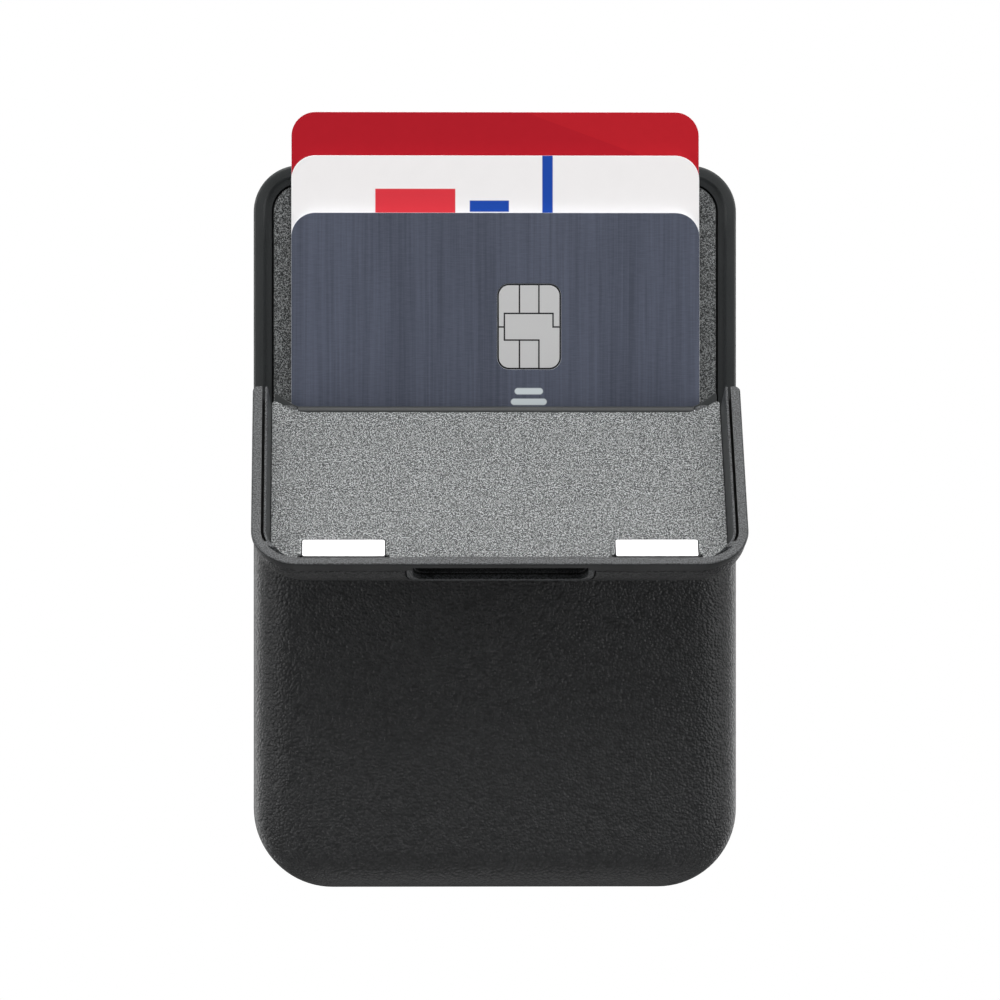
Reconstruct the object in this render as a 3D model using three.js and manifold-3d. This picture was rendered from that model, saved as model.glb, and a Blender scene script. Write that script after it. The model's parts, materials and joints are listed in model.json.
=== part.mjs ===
// Magnetic card wallet for the back of a phone: a rear shell with a ring of magnets, a leather-covered
// pocket in front of it, and an upper front door that flips down on two short pins.
//
// Millimetres, +Z up. The front faces -Y and the back lies on the plane y = 0, with the origin at the
// centre of the magnet ring. Pieces are drawn with x across, t the depth in front of the back face
// (y = -t) and z the height above the bottom edge. The wallet's group then lowers them by RING_Z.
import * as THREE from "three";
import { mergeVertices } from "three/addons/utils/BufferGeometryUtils.js";
import Module from "manifold-3d";

const wasm = await Module();
wasm.setup();

// Overall shape
const WIDTH = 64;
const HEIGHT = 95.6;
const THICKNESS = 9.4;
const TOP_RADIUS = 6.2;
const BOTTOM_RADIUS = 10.4;
const PARTING_T = 3.6; // plane where the rear shell meets the front panel and the door
const BAND = 1.3; // bare plastic beside the parting plane, in front of it the leather begins
const FRONT_FILLET = 4.5;
const BACK_FILLET = 1.6;
const LEATHER = 0.7;
const LEATHER_INSET = 0.15; // the leather's sides lie this far inside the plastic's
const GLUE = 0.05; // between a skin and the plastic under it
const GAP = 0.15; // round a piece that drops into a well
const ARC_STEPS = 7; // straight pieces in a quarter of an outline corner

// Rear shell and what lies in it
const PAD = 0.6;
const PAD_INSET = 1.8;
const RIM = 2.4;
const FLOOR_GAP = 0.25; // shadow gap round the pocket floor
const RIM_FLAT = 1.7;
const WELL_T = 1.2; // bottom of the magnet wells
const RECESS_T = 2.2; // bottom of the recess for the shield and the floor
const FLOOR_T = 3.0; // front face of the pocket floor
const FLOOR_THICK = 0.4;
const SHIELD = { thick: 0.3, inset: 1, low: 4, lowRadius: 6, highRadius: 2 };
const RAIL = { inner: 18, outer: 19.5, low: 6, high: 86 };

// Magnets
const RING_Z = 61.6;
const RING_OUTER = 27.5;
const RING_INNER = 23;
const RING_COUNT = 16;
const MAGNET_THICK = 0.9;
const BAR = { half: 3, low: 7, high: 29 };
const CLASP = { inner: 14.8, outer: 25.4, low: 90.9, high: 94.06 }; // door magnets and keepers
const CLASP_THICK = 1.2;
const CLASP_BORDER = 0.65;
const KEEPER = { back: 2.7, front: 3.5 };

// Cards
const CARD = { half: 27, height: 85.6, thick: 0.76, radius: 3.18 };
const POCKET = { half: 27.4, low: 2.6, radius: 3.0, front: 7.4, edge: 1.0 };
const CARDS = [
  { name: "card_red", back: 3.7, raise: 14.4, color: 0xb0202b },
  { name: "card_white", back: 4.5, raise: 8.6, color: 0xefeeee },
  { name: "card_grey", back: 5.3, raise: 1.0, color: 0x4f5565 },
];
const CHIP = { x: 4.45, z: 73.15, half: 4.15, tall: 5.6, radius: 1.6, thick: 0.25 };

// Hinge, with u and v the depth and the height measured from its axis
const HINGE_T = 8.6;
const HINGE_Z = 62.76;
const OPEN_ANGLE = THREE.MathUtils.degToRad(135);
const NOSE = { radius: 0.8, half: 26 };
const KNUCKLE = { radius: 1.2, inner: 26.3, outer: 29.8 };
const KNUCKLE_RECESS = { radius: 1.68, outer: 30.1 };
const PIN = { radius: 0.4, bore: 0.5, inner: 24.5, outer: 28.9, spare: 0.3 };
const EDGE_CLEARANCE = 1.1; // radius of the hollow in the door's edge round the nose
const NECK = { front: 0.05, top: -1.46, foot: -4.4, slope: -3.2, shelf: -0.3, throat: -0.7 };
const NECK_TANGENT = [-0.45, -0.96]; // where the neck's back meets the round nose
const NECK_SPACE = { back: -1.5, low: -1.7 }; // hollow in the cover that the neck stands in
const LIP = { back: -2.2, front: -1.65, top: 0.7, low: -0.5, shoulder: 2.6 };
const SHOULDER = { inset: 0.4, flat: 0.4, bend: 26.5, bendTop: 1.3, foot: 25.9 };
const DOOR_ROOM = { plastic: -1.41, leather: -1.6 }; // where the 45 degree clearance crosses the axis height
const STOP_SHORT = { panel: -0.2, leather: -0.3, doorLeather: 0.1 }; // edges beside the axis height

// Door
const DOOR_FLOOR_T = 7.4; // face of the liner
const DOOR_BASE_T = 7.85; // face of the frame under the liner
const DOOR_GROOVE = { outer: 1.25, inner: 1.65, deep: 0.6 };
const DOOR_WALL = { upper: 2.0, lower: 2.4, step: 6.5 };
const SLOT = { half: 11.35, back: 4.3, front: 6.5, radius: 1.4, deep: 1.2, border: 1.05 };
const TRAY_EDGE = 0.4; // rounding between the door's walls and its floor
// Hinge edge of the liner: past the axis over each knuckle, clear of the nose between the bends.
const LINER_EDGE = { over: -0.95, clear: 1.14, bendOut: 28.2, bendIn: 24.8 };

// Card spring
const LEAF = { half: 8, thick: 0.2, low: 12, bend: 50, high: 56, rest: 7.25, belly: 1.0 };
const RIVET = { x: 4.5, z: 53, head: 1.1, shank: 0.5, hole: 0.62 };

// ---- shapes and solids ----

function solid(geometry) {
  const plain = geometry.clone();
  plain.deleteAttribute("normal");
  plain.deleteAttribute("uv");
  const merged = mergeVertices(plain, 1e-4);
  return new wasm.Manifold(
    new wasm.Mesh({
      numProp: 3,
      vertProperties: merged.attributes.position.array,
      triVerts: new Uint32Array(merged.index.array),
    }),
  );
}

function geometryOf(manifold) {
  const mesh = manifold.getMesh();
  const geometry = new THREE.BufferGeometry();
  geometry.setAttribute("position", new THREE.BufferAttribute(mesh.vertProperties, 3));
  geometry.setIndex(new THREE.BufferAttribute(mesh.triVerts, 1));
  return geometry;
}

function polygon(points) {
  return new THREE.Shape(points.map(([a, b]) => new THREE.Vector2(a, b)));
}

function roundedRect(x0, x1, z0, z1, low, high = low) {
  const shape = new THREE.Shape();
  shape.absarc(x1 - low, z0 + low, low, -Math.PI / 2, 0);
  shape.absarc(x1 - high, z1 - high, high, 0, Math.PI / 2);
  shape.absarc(x0 + high, z1 - high, high, Math.PI / 2, Math.PI);
  shape.absarc(x0 + low, z0 + low, low, Math.PI, 1.5 * Math.PI);
  return shape;
}

// The wallet's outline, moved inwards.
function outline(inset) {
  const half = WIDTH / 2 - inset;
  return roundedRect(-half, half, inset, HEIGHT - inset, BOTTOM_RADIUS - inset, TOP_RADIUS - inset);
}

// A shape in (x, z) made solid from depth t0 to t1.
function plate(shape, t0, t1, steps = ARC_STEPS) {
  const geometry = new THREE.ExtrudeGeometry(shape, {
    depth: t1 - t0,
    bevelEnabled: false,
    curveSegments: steps,
  });
  return solid(geometry.rotateX(Math.PI / 2).translate(0, -t0, 0));
}

// The same, with edges rounded at both ends; one segment makes a chamfer.
function cushion(shape, t0, t1, size, thick = size, segments = 5) {
  const geometry = new THREE.ExtrudeGeometry(shape, {
    depth: t1 - t0 - 2 * thick,
    bevelSize: size,
    bevelOffset: -size,
    bevelThickness: thick,
    bevelSegments: segments,
    curveSegments: ARC_STEPS,
  });
  return solid(geometry.rotateX(Math.PI / 2).translate(0, -t0 - thick, 0));
}

function box(x0, x1, t0, t1, z0, z1) {
  const geometry = new THREE.BoxGeometry(x1 - x0, t1 - t0, z1 - z0);
  return solid(geometry.translate((x0 + x1) / 2, -(t0 + t1) / 2, (z0 + z1) / 2));
}

// A slab from t0 to t1, rounded at the front end only.
function frontRounded(shape, t0, t1, radius) {
  const whole = cushion(shape, t0 - 2 * radius, t1, radius);
  return whole.intersect(box(-WIDTH, WIDTH, t0, t1 + 1, -WIDTH, 2 * HEIGHT));
}

// A section drawn in (u, v) from the hinge axis and made solid from x0 to x1.
function hingeBar(shape, x0, x1, steps = ARC_STEPS) {
  const geometry = new THREE.ExtrudeGeometry(shape, {
    depth: x1 - x0,
    bevelEnabled: false,
    curveSegments: steps,
  });
  const across = new THREE.Matrix4().makeBasis(
    new THREE.Vector3(0, -1, 0),
    new THREE.Vector3(0, 0, 1),
    new THREE.Vector3(-1, 0, 0),
  );
  return solid(geometry.applyMatrix4(across).translate(x1, -HINGE_T, HINGE_Z));
}

function hingeRound(radius, x0, x1, steps = 24) {
  const geometry = new THREE.CylinderGeometry(radius, radius, x1 - x0, steps);
  return solid(geometry.rotateZ(Math.PI / 2).translate((x0 + x1) / 2, -HINGE_T, HINGE_Z));
}

// A round bar along the depth.
function stud(x, z, radius, t0, t1, steps = 16) {
  const geometry = new THREE.CylinderGeometry(radius, radius, t1 - t0, steps);
  return solid(geometry.translate(x, -(t0 + t1) / 2, z));
}

// Everything on both sides of the middle: make(side) for side -1 and +1.
function bothSides(make) {
  return make(-1).add(make(1));
}

function sideBox(side, inner, outer, t0, t1, z0, z1) {
  return box(Math.min(side * inner, side * outer), Math.max(side * inner, side * outer), t0, t1, z0, z1);
}

function sideRound(side, radius, inner, outer) {
  return hingeRound(radius, Math.min(side * inner, side * outer), Math.max(side * inner, side * outer));
}

// ---- materials ----

function material(color, roughness, metalness = 0) {
  return new THREE.MeshStandardMaterial({ color, roughness, metalness });
}

const shellPlastic = material(0x2d3030, 0.5);
const linerPlastic = material(0x6a6f6d, 0.7);
const doorPlastic = material(0x6d7072, 0.45);
const softPad = material(0x1d1e20, 0.8);
const leather = material(0x222426, 0.55);
const magnetMetal = material(0xe6e8ea, 0.2, 1);
const steel = material(0xb4b7ba, 0.35, 1);
const chipMetal = material(0xc0bfbd, 0.35, 1);

function piece(name, manifold, look) {
  const mesh = new THREE.Mesh(geometryOf(manifold), look);
  mesh.name = name;
  return mesh;
}

// ---- rear shell and the pieces in it ----

function backPad() {
  const pad = cushion(outline(PAD_INSET), 0, 2 * PAD, PAD / 2, PAD / 2, 2);
  return pad.intersect(box(-WIDTH, WIDTH, -1, PAD, -1, HEIGHT + 1));
}

function ringShape(outer, inner) {
  const shape = new THREE.Shape();
  shape.absarc(0, RING_Z, outer, 0, 2 * Math.PI);
  const hole = new THREE.Path();
  hole.absarc(0, RING_Z, inner, 0, 2 * Math.PI);
  shape.holes.push(hole);
  return shape;
}

function claspWell(t0, t1) {
  return bothSides((side) =>
    sideBox(side, CLASP.inner - GAP, CLASP.outer + GAP, t0, t1, CLASP.low - GAP, CLASP.high + GAP),
  );
}

// The blocks that carry the keepers, just under the parting plane.
function keeperLedges(margin, t0, t1) {
  const border = CLASP_BORDER + margin;
  return bothSides((side) =>
    sideBox(side, CLASP.inner - border, CLASP.outer + border, t0, t1, CLASP.low - border, HEIGHT - RIM + 1),
  );
}

function rearShell() {
  const block = cushion(outline(0), PAD, PARTING_T + 2 * BACK_FILLET, BACK_FILLET);
  const recess = plate(outline(RIM), RECESS_T, PARTING_T + 1);
  const mouth = cushion(outline(RIM_FLAT), FLOOR_T, PARTING_T + 3, RIM - RIM_FLAT, PARTING_T - FLOOR_T, 1);
  const ringWell = plate(ringShape(RING_OUTER + GAP, RING_INNER - GAP), WELL_T, RECESS_T + 1, 48);
  const barWell = box(-BAR.half - GAP, BAR.half + GAP, WELL_T, RECESS_T + 1, BAR.low - GAP, BAR.high + GAP);
  return block
    .intersect(box(-WIDTH, WIDTH, 0, PARTING_T, -1, HEIGHT + 1))
    .subtract(recess)
    .subtract(mouth)
    .add(keeperLedges(0, RECESS_T, KEEPER.front))
    .subtract(claspWell(KEEPER.back, PARTING_T + 1))
    .subtract(ringWell)
    .subtract(barWell);
}

// One arc magnet, centred on the +x side of the ring.
function arcMagnet() {
  const half = Math.PI / RING_COUNT - GAP / RING_INNER;
  const shape = new THREE.Shape();
  shape.absarc(0, 0, RING_OUTER, -half, half);
  shape.absarc(0, 0, RING_INNER, half, -half, true);
  return plate(shape, WELL_T, WELL_T + MAGNET_THICK, 4);
}

function shieldPlate() {
  const half = WIDTH / 2 - RIM - SHIELD.inset;
  const top = CLASP.low - CLASP_BORDER - 2 * GAP;
  const shape = roundedRect(-half, half, SHIELD.low, top, SHIELD.lowRadius, SHIELD.highRadius);
  return plate(shape, RECESS_T, RECESS_T + SHIELD.thick);
}

function pocketFloor() {
  const sheet = plate(outline(RIM + FLOOR_GAP), FLOOR_T - FLOOR_THICK, FLOOR_T);
  const rails = bothSides((side) =>
    sideBox(side, RAIL.inner, RAIL.outer, FLOOR_T - FLOOR_THICK / 2, PARTING_T, RAIL.low, RAIL.high),
  );
  return sheet.add(rails).subtract(keeperLedges(2 * GAP, 0, THICKNESS));
}

function keeper(side) {
  return sideBox(side, CLASP.inner, CLASP.outer, KEEPER.back, KEEPER.front, CLASP.low, CLASP.high);
}

// ---- front panel ----

// Plastic cover of the whole front: a bare band by the parting plane, then set back under the leather.
function coverPlastic() {
  const under = LEATHER + GLUE;
  const band = plate(outline(0), PARTING_T, PARTING_T + BAND);
  const raised = frontRounded(outline(under), PARTING_T + 0.5, THICKNESS - under, FRONT_FILLET - under);
  return band.add(raised);
}

// Leather skin of the whole front, from the band on.
function coverLeather() {
  const outer = frontRounded(outline(LEATHER_INSET), PARTING_T + BAND + GLUE, THICKNESS, FRONT_FILLET);
  const inner = frontRounded(outline(LEATHER), PARTING_T, THICKNESS - LEATHER, FRONT_FILLET - LEATHER);
  return outer.subtract(inner);
}

// Room for the open door: everything in front of a plane that slopes back at 45 degrees.
function doorRoom(u) {
  const reach = 12;
  const wedge = polygon([
    [u + reach, -reach],
    [u + reach, reach],
    [u - reach, reach],
  ]);
  return hingeBar(wedge, -WIDTH, WIDTH);
}

// Section of the hinge nose with the neck that carries it and the lip behind.
function noseSection() {
  return polygon([
    [NECK.front, NECK.top],
    [NECK.front, NECK.foot],
    [POCKET.front - HINGE_T, NECK.foot],
    [LIP.back, NECK.slope],
    [LIP.back, LIP.top],
    [LIP.front, LIP.top],
    [LIP.front, NECK.shelf],
    [NECK.shelf, NECK.shelf],
    [NECK.shelf, NECK.throat],
    NECK_TANGENT,
  ]);
}

// Inner lip of the pocket's mouth, rising to a shoulder on each side.
function lip() {
  const edge = WIDTH / 2 - RIM - SHOULDER.inset;
  const right = [
    [edge, LIP.low],
    [edge, LIP.shoulder],
    [edge - SHOULDER.flat, LIP.shoulder],
    [SHOULDER.bend, SHOULDER.bendTop],
    [SHOULDER.foot, LIP.top],
  ];
  const left = right.map(([x, v]) => [-x, v]).reverse();
  const shape = polygon([...right, ...left].map(([x, v]) => [x, HINGE_Z + v]));
  return plate(shape, HINGE_T + LIP.back, HINGE_T + LIP.front);
}

function frontPanel() {
  const top = HINGE_Z + STOP_SHORT.panel;
  const pocketShape = roundedRect(-POCKET.half, POCKET.half, POCKET.low, 2 * HEIGHT, POCKET.radius);
  const pocket = frontRounded(pocketShape, 0, POCKET.front, POCKET.edge);
  const recess = bothSides((side) => sideRound(side, KNUCKLE_RECESS.radius, NOSE.half, KNUCKLE_RECESS.outer));
  const spaceBack = HINGE_T + NECK_SPACE.back;
  const neckSpace = box(-NOSE.half, NOSE.half, spaceBack, THICKNESS, HINGE_Z + NECK_SPACE.low, HEIGHT);
  const bores = bothSides((side) => sideRound(side, PIN.bore, PIN.inner - PIN.spare, NOSE.half + 1));
  const rivetHoles = bothSides((side) => stud(side * RIVET.x, RIVET.z, RIVET.hole, 7, 8.2));
  return coverPlastic()
    .intersect(box(-WIDTH, WIDTH, 0, THICKNESS, -1, top))
    .subtract(pocket)
    .subtract(neckSpace)
    .subtract(doorRoom(DOOR_ROOM.plastic))
    .add(hingeBar(noseSection(), -NOSE.half, NOSE.half))
    .add(hingeRound(NOSE.radius, -NOSE.half, NOSE.half))
    .subtract(recess)
    .add(lip())
    .subtract(bores)
    .subtract(rivetHoles);
}

function frontLeather() {
  return coverLeather()
    .intersect(box(-WIDTH, WIDTH, 0, THICKNESS + 1, -1, HINGE_Z + STOP_SHORT.leather))
    .subtract(doorRoom(DOOR_ROOM.leather));
}

function hingePin(side) {
  return sideRound(side, PIN.radius, PIN.inner, PIN.outer);
}

// Leaf spring: flat where it is riveted, then bowed back towards the cards.
function cardSpring() {
  const steps = 14;
  const span = LEAF.bend - LEAF.low;
  const middle = [[LEAF.rest, LEAF.high]];
  for (let i = 0; i <= steps; i++) {
    const z = LEAF.bend - (span * i) / steps;
    middle.push([LEAF.rest - LEAF.belly * Math.sin((Math.PI * i) / steps) ** 2, z]);
  }
  const back = middle.map(([t, z]) => [t - LEAF.thick / 2 - HINGE_T, z - HINGE_Z]);
  const front = middle.map(([t, z]) => [t + LEAF.thick / 2 - HINGE_T, z - HINGE_Z]).reverse();
  const holes = bothSides((side) => stud(side * RIVET.x, RIVET.z, RIVET.hole, 6, 8));
  return hingeBar(polygon([...back, ...front]), -LEAF.half, LEAF.half).subtract(holes);
}

function springRivet(side) {
  const seat = LEAF.rest - LEAF.thick / 2 - GLUE;
  const head = stud(side * RIVET.x, RIVET.z, RIVET.head, seat - 0.3, seat);
  return head.add(stud(side * RIVET.x, RIVET.z, RIVET.shank, seat - 0.1, 8.0));
}

// ---- door, drawn closed ----

// The liner's hinge edge: clear of the nose in the middle, wrapped past the axis over each knuckle.
function doorLiner() {
  const inset = DOOR_WALL.lower + GAP;
  const half = WIDTH / 2 - inset;
  const top = HEIGHT - inset;
  const radius = TOP_RADIUS - inset;
  const shape = new THREE.Shape();
  const { bendOut, bendIn } = LINER_EDGE;
  const over = HINGE_Z + LINER_EDGE.over;
  const clear = HINGE_Z + LINER_EDGE.clear;
  const softOver = over + 0.45;
  const softOut = bendOut - 0.9;
  const softIn = bendIn + 1.6;
  shape.moveTo(-half, over);
  shape.lineTo(-bendOut, over);
  shape.bezierCurveTo(-softOut, softOver, -softIn, clear, -bendIn, clear);
  shape.lineTo(bendIn, clear);
  shape.bezierCurveTo(softIn, clear, softOut, softOver, bendOut, over);
  shape.lineTo(half, over);
  shape.absarc(half - radius, top - radius, radius, 0, Math.PI / 2);
  shape.absarc(radius - half, top - radius, radius, Math.PI / 2, Math.PI);
  const base = DOOR_BASE_T - 2 * GLUE;
  return plate(shape, DOOR_FLOOR_T, base).subtract(magnetBosses(GAP, 0, THICKNESS, HEIGHT));
}

function magnetBosses(margin, t0, t1, z1) {
  const border = CLASP_BORDER + margin;
  return bothSides((side) =>
    sideBox(side, CLASP.inner - border, CLASP.outer + border, t0, t1, CLASP.low - 0.5 - margin, z1),
  );
}

function doorTray() {
  const upper = plate(outline(DOOR_WALL.upper), 0, DOOR_WALL.step);
  const lower = frontRounded(outline(DOOR_WALL.lower), 0, DOOR_BASE_T, TRAY_EDGE);
  return upper.add(lower);
}

function doorGroove() {
  const outer = plate(outline(DOOR_GROOVE.outer), 0, PARTING_T + DOOR_GROOVE.deep);
  return outer.subtract(plate(outline(DOOR_GROOVE.inner), -1, THICKNESS));
}

// The nail slot in the end wall, and the plastic border that the leather leaves round it.
function nailSlot() {
  const shape = roundedRect(-SLOT.half, SLOT.half, SLOT.back, SLOT.front, 0.05, SLOT.radius);
  const geometry = new THREE.ExtrudeGeometry(shape, { depth: 3, bevelEnabled: false, curveSegments: 4 });
  const upright = new THREE.Matrix4().makeBasis(
    new THREE.Vector3(1, 0, 0),
    new THREE.Vector3(0, -1, 0),
    new THREE.Vector3(0, 0, -1),
  );
  return solid(geometry.applyMatrix4(upright).translate(0, 0, HEIGHT - SLOT.deep + 3));
}

function slotBorder() {
  const reach = SLOT.half + SLOT.border;
  const front = SLOT.front + SLOT.border;
  const skin = frontRounded(outline(GLUE), PARTING_T, THICKNESS - GLUE, FRONT_FILLET - GLUE);
  const block = box(-reach + GAP, reach - GAP, PARTING_T + BAND - 0.2, front - GAP, HEIGHT - 4, HEIGHT);
  return skin.intersect(block);
}

function doorFrame() {
  const knuckles = bothSides((side) => sideRound(side, KNUCKLE.radius, KNUCKLE.inner, KNUCKLE.outer));
  const behindLiner = box(-WIDTH, WIDTH, DOOR_BASE_T, THICKNESS, 0, HEIGHT);
  const bosses = magnetBosses(0, PARTING_T + 0.1, DOOR_BASE_T + 0.3, HEIGHT - 1);
  const hollow = hingeRound(EDGE_CLEARANCE, -KNUCKLE.inner, KNUCKLE.inner);
  const bores = bothSides((side) => sideRound(side, PIN.bore, NOSE.half, PIN.outer + PIN.spare));
  return coverPlastic()
    .intersect(box(-WIDTH, WIDTH, 0, THICKNESS, HINGE_Z, HEIGHT + 1))
    .subtract(doorTray())
    .subtract(doorGroove())
    .add(bosses.intersect(coverPlastic()))
    .subtract(claspWell(0, PARTING_T + 0.05 + CLASP_THICK + 2 * GLUE))
    .subtract(hollow)
    .add(knuckles.intersect(coverPlastic()).intersect(behindLiner))
    .add(slotBorder())
    .subtract(nailSlot())
    .subtract(bores);
}

function doorLeather() {
  const reach = SLOT.half + SLOT.border;
  const window = box(-reach, reach, 0, SLOT.front + SLOT.border, HEIGHT - 5, HEIGHT + 1);
  return coverLeather()
    .intersect(box(-WIDTH, WIDTH, 0, THICKNESS + 1, HINGE_Z + STOP_SHORT.doorLeather, HEIGHT + 1))
    .subtract(hingeRound(EDGE_CLEARANCE + GAP, -WIDTH, WIDTH))
    .subtract(window);
}

function doorMagnet(side) {
  const back = PARTING_T + 0.05;
  return sideBox(side, CLASP.inner, CLASP.outer, back, back + CLASP_THICK, CLASP.low, CLASP.high);
}

// ---- cards, drawn pushed home ----

function chipShape(margin) {
  const half = CHIP.half + margin;
  const tall = CHIP.tall + margin;
  return roundedRect(CHIP.x - half, CHIP.x + half, CHIP.z - tall, CHIP.z + tall, CHIP.radius);
}

function card(back) {
  const shape = roundedRect(-CARD.half, CARD.half, POCKET.low, POCKET.low + CARD.height, CARD.radius);
  return plate(shape, back, back + CARD.thick);
}

// ---- assembly ----

const wallet = new THREE.Group();
wallet.position.z = -RING_Z;

const ring = new THREE.Group();
ring.position.z = RING_Z;
for (let i = 0; i < RING_COUNT; i++) {
  const magnet = piece(`ring_magnet_${String(i + 1).padStart(2, "0")}`, arcMagnet(), magnetMetal);
  magnet.rotation.y = (2 * Math.PI * i) / RING_COUNT;
  ring.add(magnet);
}

const alignment = box(-BAR.half, BAR.half, WELL_T, WELL_T + MAGNET_THICK, BAR.low, BAR.high);
wallet.add(
  ring,
  piece("back_pad", backPad(), softPad),
  piece("rear_shell", rearShell(), shellPlastic),
  piece("alignment_magnet", alignment, magnetMetal),
  piece("shield_plate", shieldPlate(), steel),
  piece("pocket_floor", pocketFloor(), linerPlastic),
  piece("front_panel", frontPanel(), shellPlastic),
  piece("front_leather", frontLeather(), leather),
  piece("card_spring", cardSpring(), steel),
);

const closedDoor = new THREE.Group();
closedDoor.position.set(0, HINGE_T, -HINGE_Z);
closedDoor.add(
  piece("door_frame", doorFrame(), doorPlastic),
  piece("door_liner", doorLiner(), linerPlastic),
  piece("door_leather", doorLeather(), leather),
);
const door = new THREE.Group();
door.position.set(0, -HINGE_T, HINGE_Z);
door.rotation.x = OPEN_ANGLE;
door.add(closedDoor);
wallet.add(door);

for (const [side, word] of [
  [-1, "left"],
  [1, "right"],
]) {
  wallet.add(
    piece(`keeper_${word}`, keeper(side), steel),
    piece(`hinge_pin_${word}`, hingePin(side), steel),
    piece(`spring_rivet_${word}`, springRivet(side), steel),
  );
  closedDoor.add(piece(`door_magnet_${word}`, doorMagnet(side), magnetMetal));
}

for (const { name, back, raise, color } of CARDS) {
  const slide = new THREE.Group();
  slide.position.z = raise;
  const face = back + CARD.thick;
  if (name === "card_grey") {
    const pocket = plate(chipShape(GAP), face - CHIP.thick - 0.05, face + 1);
    const chip = plate(chipShape(0), face - CHIP.thick, face + 0.02);
    slide.add(piece(name, card(back).subtract(pocket), material(color, 0.5)));
    slide.add(piece("card_chip", chip, chipMetal));
  } else {
    slide.add(piece(name, card(back), material(color, 0.4)));
  }
  wallet.add(slide);
}

const cardWallet = new THREE.Group();
cardWallet.add(wallet);

export default cardWallet;
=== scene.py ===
import json
import math

import bmesh
import bpy
from mathutils import Matrix, Vector


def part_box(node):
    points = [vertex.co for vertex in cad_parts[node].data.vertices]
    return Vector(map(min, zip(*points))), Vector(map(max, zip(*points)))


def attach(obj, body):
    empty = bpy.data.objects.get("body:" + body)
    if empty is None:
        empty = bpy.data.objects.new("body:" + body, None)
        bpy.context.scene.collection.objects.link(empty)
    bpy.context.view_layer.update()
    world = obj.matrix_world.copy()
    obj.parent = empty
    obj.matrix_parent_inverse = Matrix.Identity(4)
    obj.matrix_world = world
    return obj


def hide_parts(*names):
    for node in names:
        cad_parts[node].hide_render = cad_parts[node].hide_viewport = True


# A card wallet for the back of a phone, shown with its front door open and three cards in it.
# Pieces are drawn as in the CAD model, in millimetres: x across, t the depth in front of the back
# face, z the height above the bottom edge. place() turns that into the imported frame, in metres.
# The door's pieces are drawn with the door closed, and to_open() turns them to where it stands.

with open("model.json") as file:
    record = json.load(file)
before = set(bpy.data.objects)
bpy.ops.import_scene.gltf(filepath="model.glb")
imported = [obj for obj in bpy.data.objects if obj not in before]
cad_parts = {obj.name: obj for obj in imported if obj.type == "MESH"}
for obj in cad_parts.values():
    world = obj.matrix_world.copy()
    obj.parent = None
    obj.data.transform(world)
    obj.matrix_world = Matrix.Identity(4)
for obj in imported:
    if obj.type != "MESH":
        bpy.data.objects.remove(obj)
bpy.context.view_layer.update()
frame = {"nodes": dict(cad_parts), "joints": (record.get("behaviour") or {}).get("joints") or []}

MM = 0.001
nodes = frame["nodes"]
SIDES = ("left", "right")


def node_span(node):
    """The lowest and highest x, t and z of a CAD node, in millimetres in the drawing's axes."""
    low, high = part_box(node)
    return (
        (low.x / MM, high.x / MM),
        (-high.y / MM, -low.y / MM),
        (low.z / MM + RING_Z, high.z / MM + RING_Z),
    )


# ---- driving sizes: places and overall sizes from the frame, then radii and thicknesses ----

RING_Z = -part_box("rear_shell")[0].z / MM
(_, HALF), (PAD_T, PARTING_T), (_, HEIGHT) = node_span("rear_shell")
THICKNESS = -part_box("front_leather")[0].y / MM
PAD_HALF = node_span("back_pad")[0][1]
FLOOR_HALF = node_span("pocket_floor")[0][1]
HINGE = next(j for j in frame["joints"] if j["name"] == "door_hinge")
HINGE_T = -HINGE["pos_m"][1] / MM
HINGE_Z = HINGE["pos_m"][2] / MM + RING_Z
OPEN_ANGLE = math.radians(-HINGE["range_deg"][0])

TOP_RADIUS = 6.2
BOTTOM_RADIUS = 10.4
BAND = 1.3  # bare plastic in front of the parting plane
LEATHER = 0.7
LEATHER_BACK = PARTING_T + BAND + 0.05
UNDER = LEATHER + 0.05  # the plastic under the leather is set back by this
FILLET = THICKNESS - PARTING_T - BAND
LEATHER_INSET = 0.15
NARROWER = 0.997  # the pocket cover is this much narrower than the rear shell
MIDDLE = 14  # inset at which a swept profile stops and a flat face closes it
PAST = 40  # half length of a cutter that runs right through the wallet

# The top corners' radius grows towards the front: by RIM_GROWTH over the depth RIM_REACH, which begins
# RIM_START in front of the rim, and by LEATHER_GROWTH for each millimetre in front of the leather's back.
RIM_START = 0.15
RIM_REACH = 1.1
RIM_GROWTH = 0.9
LEATHER_GROWTH = 0.15

CORNER_STEPS = 20
SIDE_STEPS = 16
SMALL_CORNER_STEPS = 5
SMOOTH_ANGLE = math.radians(20)


# ---- mesh building ----


def place(x, t, z):
    return Vector((x * MM, -t * MM, (z - RING_Z) * MM))


def new_object(name, bm):
    bmesh.ops.remove_doubles(bm, verts=bm.verts, dist=1e-7)
    bmesh.ops.recalc_face_normals(bm, faces=bm.faces)
    mesh = bpy.data.meshes.new(name)
    bm.to_mesh(mesh)
    bm.free()
    piece = bpy.data.objects.new(name, mesh)
    bpy.context.scene.collection.objects.link(piece)
    return smooth(piece)


def smooth(piece):
    """Shades the piece smooth, apart from its sharp edges."""
    piece.data.polygons.foreach_set("use_smooth", [True] * len(piece.data.polygons))
    piece.data.set_sharp_from_angle(angle=SMOOTH_ANGLE)
    return piece


def apply_modifiers(piece):
    """Turns the piece's modifiers into plain mesh."""
    graph = bpy.context.evaluated_depsgraph_get()
    mesh = bpy.data.meshes.new_from_object(piece.evaluated_get(graph))
    piece.modifiers.clear()
    piece.data = mesh
    return smooth(piece)


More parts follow.
